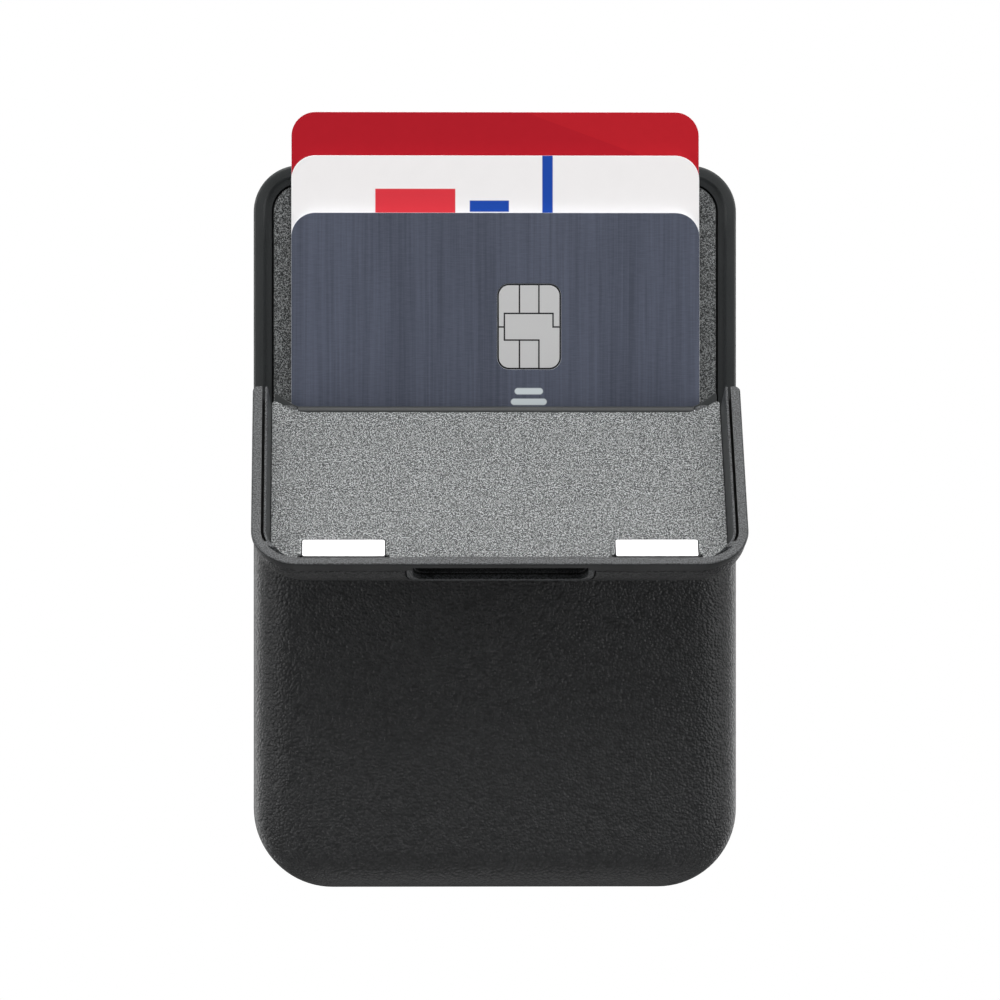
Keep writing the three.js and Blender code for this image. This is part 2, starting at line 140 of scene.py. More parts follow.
def combine(piece, other, operation):
    """A boolean of the two solids; the other one is used up."""
    modifier = piece.modifiers.new(operation, "BOOLEAN")
    modifier.operation = operation
    modifier.solver = "EXACT"
    modifier.object = other
    apply_modifiers(piece)
    bpy.data.objects.remove(other)
    return piece


def bevel(piece, width, segments, angle):
    """Rounds the edges that are sharper than angle, in degrees."""
    modifier = piece.modifiers.new("bevel", "BEVEL")
    modifier.width = width * MM
    modifier.segments = segments
    modifier.limit_method = "ANGLE"
    modifier.angle_limit = math.radians(angle)
    modifier.use_clamp_overlap = False
    modifier.harden_normals = False
    apply_modifiers(piece)
    return keep_width(piece)


def keep_width(piece):
    """Draws in the few corners that a bevel throws out past the wallet's sides."""
    for vertex in piece.data.vertices:
        vertex.co.x = min(max(vertex.co.x, -HALF * MM), HALF * MM)
    return piece


def join(piece, *others):
    """Puts the other meshes into the piece as loose parts of it."""
    bm = bmesh.new()
    bm.from_mesh(piece.data)
    for other in others:
        bm.from_mesh(other.data)
    bm.to_mesh(piece.data)
    bm.free()
    for other in others:
        bpy.data.objects.remove(other)
    return smooth(piece)


def arc(cx, cz, radius, start, end, steps=CORNER_STEPS):
    """Points of an arc from start to end, in degrees."""
    points = []
    for i in range(steps + 1):
        a = math.radians(start + (end - start) * i / steps)
        points.append((cx + radius * math.cos(a), cz + radius * math.sin(a)))
    return points


def between(a, b, steps):
    """Points from a to b without either end."""
    return [
        (a[0] + (b[0] - a[0]) * i / steps, a[1] + (b[1] - a[1]) * i / steps)
        for i in range(1, steps)
    ]


def fuller(t):
    """How much larger the top corners' radius is at depth t: none at the rim, more under the leather."""
    near_rim = min(max((t - PARTING_T - RIM_START) / RIM_REACH, 0.0), 1.0)
    return RIM_GROWTH * near_rim + LEATHER_GROWTH * max(t - LEATHER_BACK, 0.0)


def outline(inset, part="full", cut=0.0, end_radius=0.0, more=0.0):
    """The wallet's outline moved inwards: all of it, or what lies above or below the height cut."""
    half = HALF - inset
    low, top = inset, HEIGHT - inset
    rb = max(BOTTOM_RADIUS - inset, 0.05)
    rt = max(TOP_RADIUS - inset, 0.05) + more
    r = max(end_radius - inset, 0.02)
    bottom_right = arc(half - rb, low + rb, rb, -90, 0)
    top_right = arc(half - rt, top - rt, rt, 0, 90)
    top_left = arc(rt - half, top - rt, rt, 90, 180)
    bottom_left = arc(rb - half, low + rb, rb, 180, 270)
    if part == "full":
        chain = [bottom_right, top_right, top_left, bottom_left]
    elif part == "upper":
        start = arc(half - r, cut + r, r, -90, 0, SMALL_CORNER_STEPS)
        end = arc(r - half, cut + r, r, 180, 270, SMALL_CORNER_STEPS)
        chain = [start, top_right, top_left, end]
    else:
        start = arc(r - half, cut - r, r, 90, 180, SMALL_CORNER_STEPS)
        end = arc(half - r, cut - r, r, 0, 90, SMALL_CORNER_STEPS)
        chain = [start, bottom_left, bottom_right, end]
    points = []
    for i, run in enumerate(chain):
        points += run
        if part == "full" or i < len(chain) - 1:
            following = chain[(i + 1) % len(chain)][0]
            points += between(run[-1], following, SIDE_STEPS)
    return points


def loft(profile, part="full", cut=None, end_radius=0.0, inner_rows=0):
    """A bmesh of the rows that the profile's (inset, t) points make. cut gives each row's end height.

    The first inner_rows rows keep the plain corner, the others get the fuller one of their depth.
    """
    bm = bmesh.new()
    rows = []
    for i, (inset, t) in enumerate(profile):
        height = cut(t) if cut else 0.0
        more = fuller(t) if part == "upper" and i >= inner_rows else 0.0
        points = outline(inset, part, height, end_radius, more)
        rows.append([bm.verts.new(place(x, t, z)) for x, z in points])
    count = len(rows[0])
    for a, b in zip(rows, rows[1:]):
        for j in range(count if part == "full" else count - 1):
            k = (j + 1) % count
            bm.faces.new((a[j], a[k], b[k], b[j]))
    return bm, rows


def full_solid(name, profile):
    """A solid swept all round the outline, closed by flat faces on its first and last rows."""
    bm, rows = loft(profile)
    bm.faces.new(rows[0])
    bm.faces.new(rows[-1])
    return new_object(name, bm)


def end_solid(name, profile, part, cut, end_radius=0.0, inner_rows=0):
    """A solid swept round one end of the outline and closed by a flat face at the height cut."""
    bm, rows = loft(profile, part, lambda t: cut, end_radius, inner_rows)
    bm.faces.new(rows[0])
    bm.faces.new(rows[-1])
    bm.faces.new([row[0] for row in rows] + [row[-1] for row in reversed(rows)])
    return new_object(name, bm)


def rail(name, loop, part, cut):
    """A closed section swept round one end of the outline, with flat ends at the height cut."""
    bm, rows = loft(loop + loop[:1], part, lambda t: cut, 0.0, len(loop) + 1)
    bm.faces.new([row[0] for row in rows[:-1]])
    bm.faces.new([row[-1] for row in rows[:-1]])
    return new_object(name, bm)


def skin(name, outer, inner, part, cut):
    """A skin between two surfaces with matching rows, closed along its edges."""
    bm, out_rows = loft(outer, part, cut)
    count = len(out_rows[0])
    in_rows = []
    for (inset, depth), (_, outer_t) in zip(inner, outer):
        more = fuller(outer_t) if part == "upper" else 0.0
        points = outline(inset, part, cut(outer_t), 0.0, more)
        in_rows.append([bm.verts.new(place(x, depth, z)) for x, z in points])
    for a, b in zip(in_rows, in_rows[1:]):
        for j in range(count - 1):
            bm.faces.new((a[j + 1], a[j], b[j], b[j + 1]))
    for j in range(count - 1):
        bm.faces.new((out_rows[0][j + 1], out_rows[0][j], in_rows[0][j], in_rows[0][j + 1]))
    for end in (0, -1):
        for i in range(len(out_rows) - 1):
            corners = (out_rows[i][end], out_rows[i + 1][end], in_rows[i + 1][end], in_rows[i][end])
            bm.faces.new(corners)
    bm.faces.new(out_rows[-1])
    bm.faces.new(in_rows[-1])
    last_out, last_in = out_rows[-1], in_rows[-1]
    bm.faces.new((last_out[0], last_out[-1], last_in[-1], last_in[0]))
    return new_object(name, bm)


def extrude(name, points, start, end, corner):
    """A solid between two copies of a section. corner(a, b, along) gives the place of each point."""
    bm = bmesh.new()
    first = [bm.verts.new(corner(a, b, start)) for a, b in points]
    last = [bm.verts.new(corner(a, b, end)) for a, b in points]
    for j in range(len(points)):
        k = (j + 1) % len(points)
        bm.faces.new((first[j], first[k], last[k], last[j]))
    bm.faces.new(first)
    bm.faces.new(last)
    return new_object(name, bm)


def prism(name, points, t0, t1):
    """A shape in (x, z) made solid from depth t0 to t1."""
    return extrude(name, points, t0, t1, lambda x, z, t: place(x, t, z))


def bar(name, points, x0, x1):
    """A section in (t, z) made solid from x0 to x1."""
    return extrude(name, points, x0, x1, lambda t, z, x: place(x, t, z))


def upright(name, points, z0, z1):
    """A section in (x, t) made solid from height z0 to z1."""
    return extrude(name, points, z0, z1, place)


def turned(name, rows, steps=48):
    """A solid turned about the hinge axis from (x, radius) rows."""
    bm = bmesh.new()
    rings = []
    for x, r in rows:
        ring = []
        for i in range(steps):
            a = 2 * math.pi * i / steps
            ring.append(bm.verts.new(place(x, HINGE_T + r * math.sin(a), HINGE_Z + r * math.cos(a))))
        rings.append(ring)
    for a, b in zip(rings, rings[1:]):
        for j in range(steps):
            k = (j + 1) % steps
            bm.faces.new((a[j], a[k], b[k], b[j]))
    bm.faces.new(rings[0])
    bm.faces.new(rings[-1])
    return new_object(name, bm)


def hinge_round(name, radius, x0, x1, edge=0.0, steps=48):
    """A round bar on the hinge axis, its ends rounded by edge."""
    if not edge:
        return turned(name, [(x0, radius), (x1, radius)], steps)
    halfway = 0.29 * edge  # the middle of a quarter circle lies this far in from both of its sides
    rows = [(x0, radius - edge), (x0 + halfway, radius - halfway), (x0 + edge, radius)]
    rows += [(x1 - edge, radius), (x1 - halfway, radius - halfway), (x1, radius - edge)]
    return turned(name, rows, steps)


def both_sides(near, far):
    """The x range from near to far on the left and on the right of the middle."""
    return ((-far, -near), (near, far))


def rounded_rect(x0, x1, z0, z1, radius, steps=8):
    return (
        arc(x1 - radius, z0 + radius, radius, -90, 0, steps)
        + arc(x1 - radius, z1 - radius, radius, 0, 90, steps)
        + arc(x0 + radius, z1 - radius, radius, 90, 180, steps)
        + arc(x0 + radius, z0 + radius, radius, 180, 270, steps)
    )


def block(name, x0, x1, t0, t1, z0, z1, radius=0.2, edge=0.0):
    """A box with its upright edges rounded by radius and its faces' edges by edge."""
    piece = prism(name, rounded_rect(x0, x1, z0, z1, radius), t0, t1)
    return bevel(piece, edge, 2, 50) if edge else piece


def quarter_round(inset0, t0, inset1, t1, steps=8, power=2.0):
    """Profile points from (inset0, t0), where the side is upright, to (inset1, t1), where it is flat."""
    points = []
    for i in range(steps + 1):
        a = math.pi / 2 * i / steps
        across = 1 - math.cos(a) ** (2 / power)
        along = math.sin(a) ** (2 / power)
        points.append((inset0 + (inset1 - inset0) * across, t0 + (t1 - t0) * along))
    return points


def to_open(piece):
    """Turns a piece that was drawn with the door closed to where the door stands at rest."""
    pivot = place(0, HINGE_T, HINGE_Z)
    turn = Matrix.Translation(pivot) @ Matrix.Rotation(OPEN_ANGLE, 4, "X") @ Matrix.Translation(-pivot)
    piece.data.transform(turn)
    return piece


# ---- materials ----


class Look:
    """A procedural material: small helpers round its node tree."""

    def __init__(self, name, metallic=0.0, specular=0.5):
        self.material = bpy.data.materials.new(name)
        self.material.use_nodes = True
        self.tree = self.material.node_tree
        self.shader = self.tree.nodes["Principled BSDF"]
        self.shader.inputs["Metallic"].default_value = metallic
        self.shader.inputs["Specular IOR Level"].default_value = specular
        self.where = self.tree.nodes.new("ShaderNodeTexCoord").outputs["Object"]

    def link(self, output, node_input):
        self.tree.links.new(output, node_input)

    def stretched(self, x, y, z):
        node = self.tree.nodes.new("ShaderNodeMapping")
        node.inputs["Scale"].default_value = (x, y, z)
        self.link(self.where, node.inputs["Vector"])
        return node.outputs["Vector"]

    def noise(self, size, detail=3.0, roughness=0.5, vector=None, distortion=0.0):
        """Noise whose features are about size millimetres wide."""
        node = self.tree.nodes.new("ShaderNodeTexNoise")
        node.inputs["Scale"].default_value = 1 / (size * MM)
        node.inputs["Detail"].default_value = detail
        node.inputs["Roughness"].default_value = roughness
        node.inputs["Distortion"].default_value = distortion
        self.link(vector or self.where, node.inputs["Vector"])
        return node.outputs["Fac"]

    def cells(self, size, smoothness):
        """Round pebbles about size millimetres wide."""
        node = self.tree.nodes.new("ShaderNodeTexVoronoi")
        node.feature = "SMOOTH_F1"
        node.inputs["Scale"].default_value = 1 / (size * MM)
        node.inputs["Smoothness"].default_value = smoothness
        self.link(self.where, node.inputs["Vector"])
        return node.outputs["Distance"]

    def math(self, operation, a, b=None, clamp=False):
        node = self.tree.nodes.new("ShaderNodeMath")
        node.operation = operation
        node.use_clamp = clamp
        for value, node_input in zip((a, b), node.inputs):
            if value is None:
                continue
            if isinstance(value, (int, float)):
                node_input.default_value = value
            else:
                self.link(value, node_input)
        return node.outputs[0]

    def remap(self, value, low, high, to_low=0.0, to_high=1.0):
        node = self.tree.nodes.new("ShaderNodeMapRange")
        node.inputs["From Min"].default_value = low
        node.inputs["From Max"].default_value = high
        node.inputs["To Min"].default_value = to_low
        node.inputs["To Max"].default_value = to_high
        self.link(value, node.inputs["Value"])
        return node.outputs["Result"]

    def mix(self, factor, a, b):
        node = self.tree.nodes.new("ShaderNodeMix")
        node.data_type = "RGBA"
        self.link(factor, node.inputs["Factor"])
        for value, key in ((a, "A"), (b, "B")):
            socket = next(s for s in node.inputs if s.name == key and s.type == "RGBA")
            if isinstance(value, tuple):
                socket.default_value = (*value, 1)
            else:
                self.link(value, socket)
        return next(s for s in node.outputs if s.type == "RGBA")

    def axes(self):
        node = self.tree.nodes.new("ShaderNodeSeparateXYZ")
        self.link(self.where, node.inputs[0])
        return node.outputs

    def color(self, output):
        self.link(output, self.shader.inputs["Base Color"])

    def roughness(self, value):
        if isinstance(value, (int, float)):
            self.shader.inputs["Roughness"].default_value = value
        else:
            self.link(value, self.shader.inputs["Roughness"])

    def bump(self, height, distance, strength=1.0):
        node = self.tree.nodes.new("ShaderNodeBump")
        node.inputs["Strength"].default_value = strength
        node.inputs["Distance"].default_value = distance * MM
        self.link(height, node.inputs["Height"])
        self.link(node.outputs["Normal"], self.shader.inputs["Normal"])


def satin_plastic(name, dark, light, rough):
    """Smooth plastic with a faint grain."""
    look = Look(name, specular=0.45)
    grain = look.noise(0.20, 2.0, 0.6)
    cloud = look.noise(6.0, 2.0)
    value = look.math("ADD", look.math("MULTIPLY", grain, 0.8), look.math("MULTIPLY", cloud, 0.2))
    look.color(look.mix(look.remap(value, 0.35, 0.65), dark, light))
    look.roughness(look.remap(cloud, 0.3, 0.7, rough - 0.05, rough + 0.06))
    look.bump(grain, 0.012, 0.8)
    return look.material


def grained_plastic(name, dark, light):
    """Dark plastic with a fine moulded grain that shows as small light and dark grains."""
    look = Look(name, specular=0.45)
    grain = look.noise(0.17, 1.0, 0.5)
    look.color(look.mix(look.remap(grain, 0.42, 0.58), dark, light))
    look.roughness(look.remap(grain, 0.35, 0.65, 0.55, 0.42))
    look.bump(grain, 0.04, 0.8)
    return look.material


def speckled_plastic(name, dark, middle, light):
    """Coarse moulded spark texture: pits and grains about a third of a millimetre wide."""
    look = Look(name, specular=0.5)
    fine = look.noise(0.135, 1.0, 0.5)
    coarse = look.noise(0.26, 1.0, 0.5)
    grains = look.math("ADD", look.math("MULTIPLY", fine, 0.7), look.math("MULTIPLY", coarse, 0.3))
    low = look.mix(look.remap(grains, 0.41, 0.50), dark, middle)
    look.color(look.mix(look.remap(grains, 0.50, 0.60), low, light))
    look.roughness(look.remap(grains, 0.35, 0.65, 0.75, 0.5))
    look.bump(grains, 0.06, 0.8)
    return look.material


def leather_look(name):
    """Dark leather: small pebbles with finer creases and pores between them."""
    look = Look(name, specular=0.5)
    warp = look.noise(1.6, 3.0, 0.55)
    pebbles = look.cells(0.36, smoothness=0.2)
    pores = look.noise(0.25, 2.0, 0.6, distortion=0.8)
    creases = look.noise(0.38, 2.5, 0.55, distortion=1.6)
    height = look.math("ADD", look.math("MULTIPLY", pebbles, -1.3), look.math("MULTIPLY", creases, 0.9))
    height = look.math("ADD", height, look.math("MULTIPLY", pores, 0.30))
    tone = look.remap(look.math("ADD", warp, look.math("MULTIPLY", height, 0.55)), 0.25, 0.8)
    look.color(look.mix(tone, (0.0070, 0.0075, 0.0082), (0.0180, 0.0188, 0.0198)))
    look.roughness(look.remap(creases, 0.3, 0.7, 0.38, 0.54))
    look.bump(height, 0.10, 1.0)
    return look.material


def bright_metal(name, tone, rough):
    """Metal with fine streaks across it."""
    look = Look(name, metallic=1.0)
    streaks = look.noise(0.5, 3.0, 0.6, vector=look.stretched(1, 1, 12))
    look.color(look.mix(streaks, tuple(0.94 * c for c in tone), tone))
    look.roughness(look.remap(streaks, 0.3, 0.7, rough * 0.8, rough * 1.2))
    look.bump(streaks, 0.004, 0.3)
    return look.material


def soft_skin(name):
    """Matt rubbery skin."""
    look = Look(name, specular=0.35)
    grain = look.noise(0.25, 3.0, 0.6)
    cloud = look.noise(9.0, 2.0)
    look.color(look.mix(cloud, (0.011, 0.011, 0.012), (0.017, 0.017, 0.018)))
    look.roughness(look.remap(grain, 0.3, 0.7, 0.70, 0.85))
    look.bump(grain, 0.02, 0.6)
    return look.material


BOX_BLUR = 0.05  # half width of a printed edge
BAR_BLUR = 0.06


def box_mask(look, axes, x, z, half_x, half_z):
    """1 inside a rectangle centred at (x, z) on the front face, in millimetres of the drawing."""
    dx = look.math("ABSOLUTE", look.math("SUBTRACT", axes[0], x * MM))
    dz = look.math("ABSOLUTE", look.math("SUBTRACT", axes[2], (z - RING_Z) * MM))
    in_x = look.remap(dx, (half_x + BOX_BLUR) * MM, (half_x - BOX_BLUR) * MM)
    in_z = look.remap(dz, (half_z + BOX_BLUR) * MM, (half_z - BOX_BLUR) * MM)
    return look.math("MULTIPLY", in_x, in_z, clamp=True)


def bar_mask(look, axes, x, z, half, radius):
    """1 inside a level bar with round ends, centred at (x, z): half is its straight half length."""
    dx = look.math("ABSOLUTE", look.math("SUBTRACT", axes[0], x * MM))
    past = look.math("MAXIMUM", look.math("SUBTRACT", dx, half * MM), 0.0)
    dz = look.math("SUBTRACT", axes[2], (z - RING_Z) * MM)
    square = look.math("ADD", look.math("MULTIPLY", past, past), look.math("MULTIPLY", dz, dz))
    distance = look.math("SQRT", square)
    return look.remap(distance, (radius + BAR_BLUR) * MM, (radius - BAR_BLUR) * MM)


def card_finish(look):
    grain = look.noise(0.12, 2.0)
    look.roughness(look.remap(grain, 0.3, 0.7, 0.42, 0.52))
    look.bump(grain, 0.003, 0.3)


def card_edge():
    """The pale layered plastic that shows at a card's edges."""
    look = Look("card_core", specular=0.4)
    layers = look.noise(0.2, 2.0, vector=look.stretched(1, 6, 1))
    look.color(look.mix(layers, (0.62, 0.66, 0.70), (0.80, 0.84, 0.88)))
    look.roughness(0.5)
    return look.material


def red_print(top):
    """Red card with a lighter field to the right of a slanting line."""
    look = Look("print_red", specular=0.2)
    axes = look.axes()
    line_x, line_slope = 3.9, 2.7
    fall = look.math("MULTIPLY", look.math("SUBTRACT", (top - RING_Z) * MM, axes[2]), line_slope)
    beyond = look.math("SUBTRACT", look.math("SUBTRACT", axes[0], line_x * MM), fall)
    field = look.remap(beyond, -0.1 * MM, 0.1 * MM)
    cloud = look.noise(1.2, 2.0)
    deep = look.mix(cloud, (0.410, 0.0060, 0.0150), (0.440, 0.0070, 0.0170))
    fresh = look.mix(cloud, (0.455, 0.0085, 0.0170), (0.490, 0.0100, 0.0190))
    look.color(look.mix(field, deep, fresh))
    card_finish(look)
    return look.material


def white_print(top):
    """White card with a red panel, a blue dash and an upright blue stripe."""
    look = Look("print_white", specular=0.4)
    red, blue = (0.70, 0.030, 0.046), (0.002, 0.055, 0.38)
    axes = look.axes()
    cloud = look.noise(2.5, 2.0)
    paper = look.mix(cloud, (0.875, 0.855, 0.855), (0.905, 0.885, 0.885))
    panel = box_mask(look, axes, -10.6, top - 8.6, 5.3, 4.2)
    dash = box_mask(look, axes, -0.8, top - 6.7, 2.6, 0.75)
    stripe = box_mask(look, axes, 6.9, top - 10, 0.7, 20)
    with_panel = look.mix(panel, paper, red)
    with_dash = look.mix(dash, with_panel, blue)
    look.color(look.mix(stripe, with_dash, blue))
    card_finish(look)
    return look.material


def grey_print():
    """Blue-grey card with fine upright brushed lines and two small pale bars under the chip."""
    look = Look("print_grey", specular=0.4)
    axes = look.axes()
    lines = look.noise(0.5, 3.0, 0.7, vector=look.stretched(1, 1, 0.02))
    broad = look.noise(5.0, 2.0, 0.5, vector=look.stretched(1, 1, 0.05))
    weave = look.noise(0.4, 2.0, 0.6, vector=look.stretched(0.3, 1, 3))
    value = look.math("ADD", look.math("MULTIPLY", lines, 0.6), look.math("MULTIPLY", broad, 0.4))
    value = look.math("ADD", value, look.math("MULTIPLY", weave, 0.30))
    base = look.mix(look.remap(value, 0.50, 0.80), (0.048, 0.056, 0.083), (0.084, 0.096, 0.137))
    bars_x, bar_radius = 4.4, 0.42
    upper = bar_mask(look, axes, bars_x, 65.6, 1.45, bar_radius)
    lower = bar_mask(look, axes, bars_x, 64.2, 1.95, bar_radius)
    look.color(look.mix(look.math("MAXIMUM", upper, lower), base, (0.60, 0.66, 0.68)))
    look.roughness(look.remap(value, 0.4, 0.7, 0.66, 0.58))
    look.bump(value, 0.006, 0.4)
    return look.material


def chip_look():
    look = Look("chip_contacts", metallic=0.25)
    grain = look.noise(0.3, 3.0, vector=look.stretched(1, 1, 5))
    look.color(look.mix(grain, (0.60, 0.60, 0.60), (0.64, 0.64, 0.64)))
    look.roughness(look.remap(grain, 0.3, 0.7, 0.45, 0.55))
    look.bump(grain, 0.003, 0.3)
    return look.material


# Dark bed under the chip: the real dark gaps between contacts, and partly painted shadow where its ring
# shows round the plate.
def dark_gap_and_shade():
    look = Look("chip_gaps_and_shade", specular=0.3)
    grain = look.noise(0.2, 2.0)
    look.color(look.mix(grain, (0.010, 0.010, 0.012), (0.020, 0.020, 0.022)))
    look.roughness(0.6)
    return look.material


SHELL = satin_plastic("shell_plastic", (0.022, 0.0245, 0.0250), (0.030, 0.0325, 0.0330), 0.5)
# Near-black plastic put on the door's nail slot and side grooves as painted shade.
RECESS_PAINTED_SHADE = satin_plastic("recess_painted_shade", (0.003, 0.003, 0.003), (0.0045, 0.0045, 0.0045), 0.85)
# Darker plastic on the door's outer band below its rim, as painted shade for the shade under the open door.
BAND_PAINTED_SHADE = satin_plastic("band_painted_shade", (0.010, 0.0108, 0.0115), (0.015, 0.0160, 0.0170), 0.6)
DOOR = grained_plastic("door_plastic", (0.004, 0.0048, 0.0052), (0.068, 0.0725, 0.0760))
SPECKLE = speckled_plastic(
    "liner_plastic",
    dark=(0.014, 0.016, 0.016),
    middle=(0.088, 0.094, 0.095),
    light=(0.43, 0.445, 0.445),
)
# A darker copy of the liner's speckle for the sunken rear floor. The darkening is painted shade.
REAR_SPECKLE_SHADED = speckled_plastic(
    "floor_speckle_painted_shade",
    dark=(0.009, 0.010, 0.010),
    middle=(0.058, 0.062, 0.063),
    light=(0.29, 0.30, 0.30),
)
HIDE = leather_look("leather")
BACK = soft_skin("back_skin")
MAGNET = bright_metal("magnet", (0.93, 0.93, 0.94), 0.34)
STEEL = bright_metal("steel", (0.56, 0.57, 0.58), 0.35)
CORE = card_edge()


def finish_piece(piece, body, slot, material, *replaced):
    """Gives the piece its material, unless it is None, and says what the piece rides on and replaces."""
    if material is not None:
        piece.data.materials.clear()
        piece.data.materials.append(material)
    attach(piece, body)
    if replaced:
        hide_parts(*replaced)
    return piece


# ---- rear shell ----

RIM = 2.42  # from the outer edge to the shadow gap round the pocket floor
WELL_T = 2.2  # depth of the bottom of the well that the pocket floor lies in
FLOOR_TOP = 3.0
LEDGE_X = (14.15, 26.05)
LEDGE_Z = (90.25, 93.6)
NOTCH_X = (13.8, 26.4)
RAIL_X = (18, 19.5)
RAIL_Z = (6, 86)


def make_rear_shell():
    back, front = PAD_T, PARTING_T
    side = 1.6  # the rounded back edge ends this far in front of the back
    profile = [(MIDDLE, back), (4, back), (1.9, back), (1.6, back)]
    profile += list(reversed(quarter_round(0, back + side, 1.5, back + 0.01, 8)))[:-1]
    profile += [(0, back + side), (0, front - 0.6)]
    profile += quarter_round(0, front - 0.4, 0.4, front, 4)
    profile += [(0.9, front), (1.28, front - 0.01), (1.45, front - 0.10)]
    profile += [(1.62, front - 0.27), (1.8, front - 0.34), (RIM - 0.14, front - 0.38)]
    profile += [(RIM - 0.04, front - 0.42), (RIM, front - 0.55), (RIM, WELL_T + 0.1)]
    profile += [(RIM + 0.1, WELL_T), (8, WELL_T), (MIDDLE, WELL_T)]
    shell = full_solid("tray", profile)
    ledges = [block("ledge", x0, x1, WELL_T, 3.5, *LEDGE_Z, 0.3, 0.12) for x0, x1 in both_sides(*LEDGE_X)]
    join(shell, *ledges)
    return finish_piece(shell, "wallet", "shell_plastic", SHELL, "rear_shell")


def make_back_pad():
    inset = HALF - PAD_HALF
    edge = 0.3
    profile = [(MIDDLE, 0.0), (8, 0.0), (inset + 0.8, 0.0)]
    profile += list(reversed(quarter_round(inset, edge, inset + edge, 0.0, 5)))
    profile += [(inset, PAD_T), (inset + 2, PAD_T), (MIDDLE, PAD_T)]
    pad = full_solid("grip_pad", profile)
    return finish_piece(pad, "wallet", "back_skin", BACK, "back_pad")


def make_floor():
    """The plate behind the cards, notched for the two ledges, with its two low rails."""
    inset = HALF - FLOOR_HALF
    edge = 0.12
    profile = [(MIDDLE, 2.6), (inset, 2.6), (inset, FLOOR_TOP - edge)]
    profile += quarter_round(inset, FLOOR_TOP - edge, inset + edge, FLOOR_TOP, 3)[1:]
    profile += [(inset + 0.6, FLOOR_TOP), (MIDDLE, FLOOR_TOP)]
    sheet = full_solid("slide_plate", profile)
    for x0, x1 in both_sides(*NOTCH_X):
        combine(sheet, block("notch", x0, x1, 2, 4, 89.9, 96, 0.3), "DIFFERENCE")
    rails = [block("rail", x0, x1, 2.8, 3.6, *RAIL_Z, 0.7, 0.2) for x0, x1 in both_sides(*RAIL_X)]
    join(sheet, *rails)
    # The darker speckle on this plate is painted shade.
    return finish_piece(sheet, "wallet", "liner_plastic", REAR_SPECKLE_SHADED, "pocket_floor")


def make_keepers():
    for word in SIDES:
        (x0, x1), (t0, t1), (z0, z1) = node_span(f"keeper_{word}")
        strip = block(f"keeper_strip_{word}", x0, x1, t0, t1, z0, z1, 0.3, 0.08)
        finish_piece(strip, "wallet", "steel", STEEL, f"keeper_{word}")


# ---- front panel and its leather ----


def cover_profile():
    """Section of the plastic cover from the parting plane to its flat front under the leather."""
    profile = [(1.2, PARTING_T), (0.6, PARTING_T), (0.2, PARTING_T)]
    profile += [(0.06, PARTING_T + 0.06), (0, PARTING_T + 0.2)]
    profile += [(0, LEATHER_BACK - 0.25), (0.06, LEATHER_BACK - 0.1), (0.2, LEATHER_BACK - 0.05)]
    profile += [(UNDER, LEATHER_BACK - 0.05)]
    radius = FILLET - UNDER
    front = THICKNESS - UNDER
    profile += quarter_round(UNDER, front - radius, UNDER + radius, front, 10)
    profile += [(UNDER + radius + 1, front)]
    return profile


POCKET_HALF = 27.5
POCKET_LOW = 2.3
NECK_HALF = 26  # the nose's neck reaches this far to each side
SLANT = 1.41  # the cover is cut at 45 degrees, this far behind the hinge axis


def make_front_panel():
    front = THICKNESS - UNDER
    profile = [(8, PARTING_T), (4.2, PARTING_T)] + cover_profile() + [(8, front)]
    panel = end_solid("pocket_cover", profile, "lower", HINGE_Z - 0.2, 0.2)
    pocket = rounded_rect(-POCKET_HALF, POCKET_HALF, POCKET_LOW, 80, 3.0)
    combine(panel, prism("pocket", pocket, 3.0, 7.4), "DIFFERENCE")
    reach = 12
    slant_t = HINGE_T - SLANT
    wedge = [
        (slant_t + reach, HINGE_Z - reach),
        (slant_t + reach, HINGE_Z + reach),
        (slant_t - reach, HINGE_Z + reach),
    ]
    combine(panel, bar("room", wedge, -PAST, PAST), "DIFFERENCE")
    neck_back, neck_low = HINGE_T - 1.5, HINGE_Z - 1.7
    neck_space = [
        (neck_back, neck_low),
        (THICKNESS + 1, neck_low),
        (THICKNESS + 1, HINGE_Z + 2),
        (neck_back, HINGE_Z + 2),
    ]
    combine(panel, bar("space", neck_space, -NECK_HALF, NECK_HALF), "DIFFERENCE")
    for x0, x1 in both_sides(NECK_HALF, 30.1):
        combine(panel, hinge_round("recess", 1.68, x0, x1), "DIFFERENCE")
    bevel(panel, 0.07, 2, 50)
    panel.data.transform(Matrix.Diagonal((NARROWER, 1, 1, 1)))
    return finish_piece(panel, "wallet", "shell_plastic", SHELL, "front_panel")


def make_nose():
    """Round nose of the hinge with its neck, and the lip behind it that rises to a shoulder at each side."""
    round_nose = hinge_round("hinge_nose", 0.8, -NECK_HALF - 0.15, NECK_HALF + 0.15, 0.12)
    section = [
        (0.05, -1.46), (0.05, -4.0), (-1.2, -4.4), (-2.2, -3.2), (-2.2, -0.5),
        (-1.65, -0.4), (-0.3, -0.3), (-0.3, -0.7), (-0.45, -0.96),
    ]
    neck = bar("neck", [(HINGE_T + t, HINGE_Z + z) for t, z in section], 0.1 - NECK_HALF, NECK_HALF - 0.1)
    right = [
        (29.2, -0.5), (29.2, 2.35), (29.14, 2.52), (29.0, 2.58), (28.8, 2.5), (28.4, 2.16),
        (27.8, 1.72), (27.1, 1.26), (26.5, 0.96), (25.9, 0.76), (25.2, 0.66), (24.6, 0.64),
    ]
    lip_shape = right + [(-x, z) for x, z in reversed(right)]
    lip = prism("lip", [(x, HINGE_Z + z) for x, z in lip_shape], HINGE_T - 2.2, HINGE_T - 1.65)
    bevel(lip, 0.1, 3, 50)
    join(round_nose, neck, lip)
    return finish_piece(round_nose, "wallet", "shell_plastic", SHELL)


